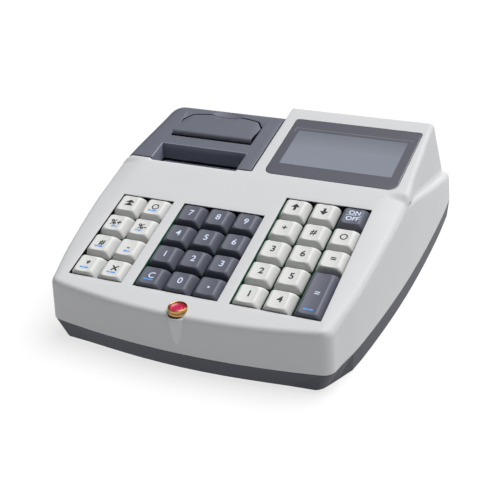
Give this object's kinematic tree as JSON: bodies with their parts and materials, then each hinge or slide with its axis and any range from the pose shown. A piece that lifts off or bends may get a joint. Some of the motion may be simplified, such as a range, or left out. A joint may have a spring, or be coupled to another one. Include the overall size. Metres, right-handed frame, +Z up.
{
  "type": "compact electronic cash register",
  "caption": "Low barrel-sided cash register with a sloping keyboard, a display pod, a printer under a hinged cover and a brass seal cup at the front edge.",
  "frame": {"origin": "middle of the register's footprint, on the table under its feet", "axes": "+Z up, +Y from the clerk's keyboard edge to the connectors at the rear, +X from the printer side to the display side"},
  "size_m": [0.206, 0.263, 0.0892],
  "materials": {
    "housing_white": "satin",
    "base_grey": "satin",
    "cover_grey": "satin",
    "window_smoke": "gloss",
    "lcd_grey": "satin",
    "board_green": "satin",
    "switch_black": "satin",
    "frame_black": "matte",
    "steel": "brushed",
    "platen_rubber": "matte",
    "gear_ivory": "satin",
    "brass": "satin",
    "paper": "matte",
    "seal_red": "gloss",
    "foot_rubber": "matte",
    "battery_blue": "gloss",
    "key_light": "satin",
    "key_dark": "satin"
  },
  "bodies": {
    "root": {"upper_housing": "housing_white", "lower_housing": "base_grey", "display_window": "window_smoke", "lcd_module": "lcd_grey", "customer_window": "window_smoke", "customer_lcd": "lcd_grey", "keyboard_pcb": "board_green", "key_switches": "switch_black", "main_pcb": "board_green", "printer_frame": "frame_black", "print_head": "steel", "stepper_motor": "steel", "seal_cup": "brass", "seal_wax": "seal_red", "rubber_feet": "foot_rubber", "case_screws": "steel", "battery_pack": "battery_blue", "rear_connectors": "switch_black"},
    "cover": {"printer_cover": "cover_grey"},
    "lever": {"cover_lever": "cover_grey"},
    "platen": {"platen_roller": "platen_rubber", "platen_gear": "gear_ivory"},
    "idler": {"idler_gear": "gear_ivory"},
    "pinion": {"motor_pinion": "brass"},
    "roll": {"paper_roll": "paper", "roll_axle": "frame_black"},
    "key_page_up": {"key_page_up": "key_light"},
    "key_mode": {"key_mode": "key_light"},
    "key_percent_plus": {"key_percent_plus": "key_light"},
    "key_percent_minus": {"key_percent_minus": "key_light"},
    "key_price": {"key_price": "key_light"},
    "key_void": {"key_void": "key_light"},
    "key_function": {"key_function": "key_light"},
    "key_quantity": {"key_quantity": "key_light"},
    "key_7": {"key_7": "key_dark"},
    "key_8": {"key_8": "key_dark"},
    "key_9": {"key_9": "key_dark"},
    "key_4": {"key_4": "key_dark"},
    "key_5": {"key_5": "key_dark"},
    "key_6": {"key_6": "key_dark"},
    "key_1": {"key_1": "key_dark"},
    "key_2": {"key_2": "key_dark"},
    "key_3": {"key_3": "key_dark"},
    "key_clear_entry": {"key_clear_entry": "key_dark"},
    "key_0": {"key_0": "key_dark"},
    "key_point": {"key_point": "key_dark"},
    "key_up": {"key_up": "key_light"},
    "key_down": {"key_down": "key_light"},
    "key_power": {"key_power": "key_dark"},
    "key_department": {"key_department": "key_light"},
    "key_lookup": {"key_lookup": "key_light"},
    "key_payment": {"key_payment": "key_light"},
    "key_group_3": {"key_group_3": "key_light"},
    "key_group_6": {"key_group_6": "key_light"},
    "key_subtotal": {"key_subtotal": "key_light"},
    "key_group_2": {"key_group_2": "key_light"},
    "key_group_5": {"key_group_5": "key_light"},
    "key_total": {"key_total": "key_dark"},
    "key_group_1": {"key_group_1": "key_light"},
    "key_group_4": {"key_group_4": "key_light"}
  },
  "joints": [
    {"name": "cover_hinge", "type": "hinge", "parent": "root", "child": "cover", "pos_m": [0, 0.0878, 0.05], "axis": [-1, 0, 0], "range_deg": [0, 75]},
    {"name": "lever_hinge", "type": "hinge", "parent": "cover", "child": "lever", "pos_m": [-0.0485, 0.02823, 0.08035], "axis": [1, 0, 0], "range_deg": [0, 35], "stiffness_Nm_per_rad": 0.02},
    {"name": "platen_spin", "type": "hinge", "parent": "root", "child": "platen", "pos_m": [-0.0485, 0.0078, 0.057], "axis": [1, 0, 0], "continuous": true},
    {"name": "idler_spin", "type": "hinge", "parent": "root", "child": "idler", "pos_m": [-0.084, 0.01881, 0.04961], "axis": [1, 0, 0], "continuous": true},
    {"name": "pinion_spin", "type": "hinge", "parent": "root", "child": "pinion", "pos_m": [-0.084, 0.0198, 0.04], "axis": [1, 0, 0], "continuous": true},
    {"name": "roll_spin", "type": "hinge", "parent": "root", "child": "roll", "pos_m": [-0.0485, 0.0488, 0.057], "axis": [1, 0, 0], "continuous": true},
    {"name": "press_page_up", "type": "slide", "parent": "root", "child": "key_page_up", "axis": [0, 0.2672, -0.9636], "range_m": [0, 0.003], "stiffness_N_per_m": 160},
    {"name": "press_mode", "type": "slide", "parent": "root", "child": "key_mode", "axis": [0, 0.2672, -0.9636], "range_m": [0, 0.003], "stiffness_N_per_m": 160},
    {"name": "press_percent_plus", "type": "slide", "parent": "root", "child": "key_percent_plus", "axis": [0, 0.2672, -0.9636], "range_m": [0, 0.003], "stiffness_N_per_m": 160},
    {"name": "press_percent_minus", "type": "slide", "parent": "root", "child": "key_percent_minus", "axis": [0, 0.2672, -0.9636], "range_m": [0, 0.003], "stiffness_N_per_m": 160},
    {"name": "press_price", "type": "slide", "parent": "root", "child": "key_price", "axis": [0, 0.2672, -0.9636], "range_m": [0, 0.003], "stiffness_N_per_m": 160},
    {"name": "press_void", "type": "slide", "parent": "root", "child": "key_void", "axis": [0, 0.2672, -0.9636], "range_m": [0, 0.003], "stiffness_N_per_m": 160},
    {"name": "press_function", "type": "slide", "parent": "root", "child": "key_function", "axis": [0, 0.2672, -0.9636], "range_m": [0, 0.003], "stiffness_N_per_m": 160},
    {"name": "press_quantity", "type": "slide", "parent": "root", "child": "key_quantity", "axis": [0, 0.2672, -0.9636], "range_m": [0, 0.003], "stiffness_N_per_m": 160},
    {"name": "press_7", "type": "slide", "parent": "root", "child": "key_7", "axis": [0, 0.2672, -0.9636], "range_m": [0, 0.003], "stiffness_N_per_m": 160},
    {"name": "press_8", "type": "slide", "parent": "root", "child": "key_8", "axis": [0, 0.2672, -0.9636], "range_m": [0, 0.003], "stiffness_N_per_m": 160},
    {"name": "press_9", "type": "slide", "parent": "root", "child": "key_9", "axis": [0, 0.2672, -0.9636], "range_m": [0, 0.003], "stiffness_N_per_m": 160},
    {"name": "press_4", "type": "slide", "parent": "root", "child": "key_4", "axis": [0, 0.2672, -0.9636], "range_m": [0, 0.003], "stiffness_N_per_m": 160},
    {"name": "press_5", "type": "slide", "parent": "root", "child": "key_5", "axis": [0, 0.2672, -0.9636], "range_m": [0, 0.003], "stiffness_N_per_m": 160},
    {"name": "press_6", "type": "slide", "parent": "root", "child": "key_6", "axis": [0, 0.2672, -0.9636], "range_m": [0, 0.003], "stiffness_N_per_m": 160},
    {"name": "press_1", "type": "slide", "parent": "root", "child": "key_1", "axis": [0, 0.2672, -0.9636], "range_m": [0, 0.003], "stiffness_N_per_m": 160},
    {"name": "press_2", "type": "slide", "parent": "root", "child": "key_2", "axis": [0, 0.2672, -0.9636], "range_m": [0, 0.003], "stiffness_N_per_m": 160},
    {"name": "press_3", "type": "slide", "parent": "root", "child": "key_3", "axis": [0, 0.2672, -0.9636], "range_m": [0, 0.003], "stiffness_N_per_m": 160},
    {"name": "press_clear_entry", "type": "slide", "parent": "root", "child": "key_clear_entry", "axis": [0, 0.2672, -0.9636], "range_m": [0, 0.003], "stiffness_N_per_m": 160},
    {"name": "press_0", "type": "slide", "parent": "root", "child": "key_0", "axis": [0, 0.2672, -0.9636], "range_m": [0, 0.003], "stiffness_N_per_m": 160},
    {"name": "press_point", "type": "slide", "parent": "root", "child": "key_point", "axis": [0, 0.2672, -0.9636], "range_m": [0, 0.003], "stiffness_N_per_m": 160},
    {"name": "press_up", "type": "slide", "parent": "root", "child": "key_up", "axis": [0, 0.2672, -0.9636], "range_m": [0, 0.003], "stiffness_N_per_m": 160},
    {"name": "press_down", "type": "slide", "parent": "root", "child": "key_down", "axis": [0, 0.2672, -0.9636], "range_m": [0, 0.003], "stiffness_N_per_m": 160},
    {"name": "press_power", "type": "slide", "parent": "root", "child": "key_power", "axis": [0, 0.2672, -0.9636], "range_m": [0, 0.003], "stiffness_N_per_m": 160},
    {"name": "press_department", "type": "slide", "parent": "root", "child": "key_department", "axis": [0, 0.2672, -0.9636], "range_m": [0, 0.003], "stiffness_N_per_m": 160},
    {"name": "press_lookup", "type": "slide", "parent": "root", "child": "key_lookup", "axis": [0, 0.2672, -0.9636], "range_m": [0, 0.003], "stiffness_N_per_m": 160},
    {"name": "press_payment", "type": "slide", "parent": "root", "child": "key_payment", "axis": [0, 0.2672, -0.9636], "range_m": [0, 0.003], "stiffness_N_per_m": 160},
    {"name": "press_group_3", "type": "slide", "parent": "root", "child": "key_group_3", "axis": [0, 0.2672, -0.9636], "range_m": [0, 0.003], "stiffness_N_per_m": 160},
    {"name": "press_group_6", "type": "slide", "parent": "root", "child": "key_group_6", "axis": [0, 0.2672, -0.9636], "range_m": [0, 0.003], "stiffness_N_per_m": 160},
    {"name": "press_subtotal", "type": "slide", "parent": "root", "child": "key_subtotal", "axis": [0, 0.2672, -0.9636], "range_m": [0, 0.003], "stiffness_N_per_m": 160},
    {"name": "press_group_2", "type": "slide", "parent": "root", "child": "key_group_2", "axis": [0, 0.2672, -0.9636], "range_m": [0, 0.003], "stiffness_N_per_m": 160},
    {"name": "press_group_5", "type": "slide", "parent": "root", "child": "key_group_5", "axis": [0, 0.2672, -0.9636], "range_m": [0, 0.003], "stiffness_N_per_m": 160},
    {"name": "press_total", "type": "slide", "parent": "root", "child": "key_total", "axis": [0, 0.2672, -0.9636], "range_m": [0, 0.003], "stiffness_N_per_m": 160},
    {"name": "press_group_1", "type": "slide", "parent": "root", "child": "key_group_1", "axis": [0, 0.2672, -0.9636], "range_m": [0, 0.003], "stiffness_N_per_m": 160},
    {"name": "press_group_4", "type": "slide", "parent": "root", "child": "key_group_4", "axis": [0, 0.2672, -0.9636], "range_m": [0, 0.003], "stiffness_N_per_m": 160}
  ],
  "couplings": [
    {"joint": "idler_spin", "follows": "platen_spin", "ratio": -1.2},
    {"joint": "pinion_spin", "follows": "platen_spin", "ratio": 2}
  ]
}
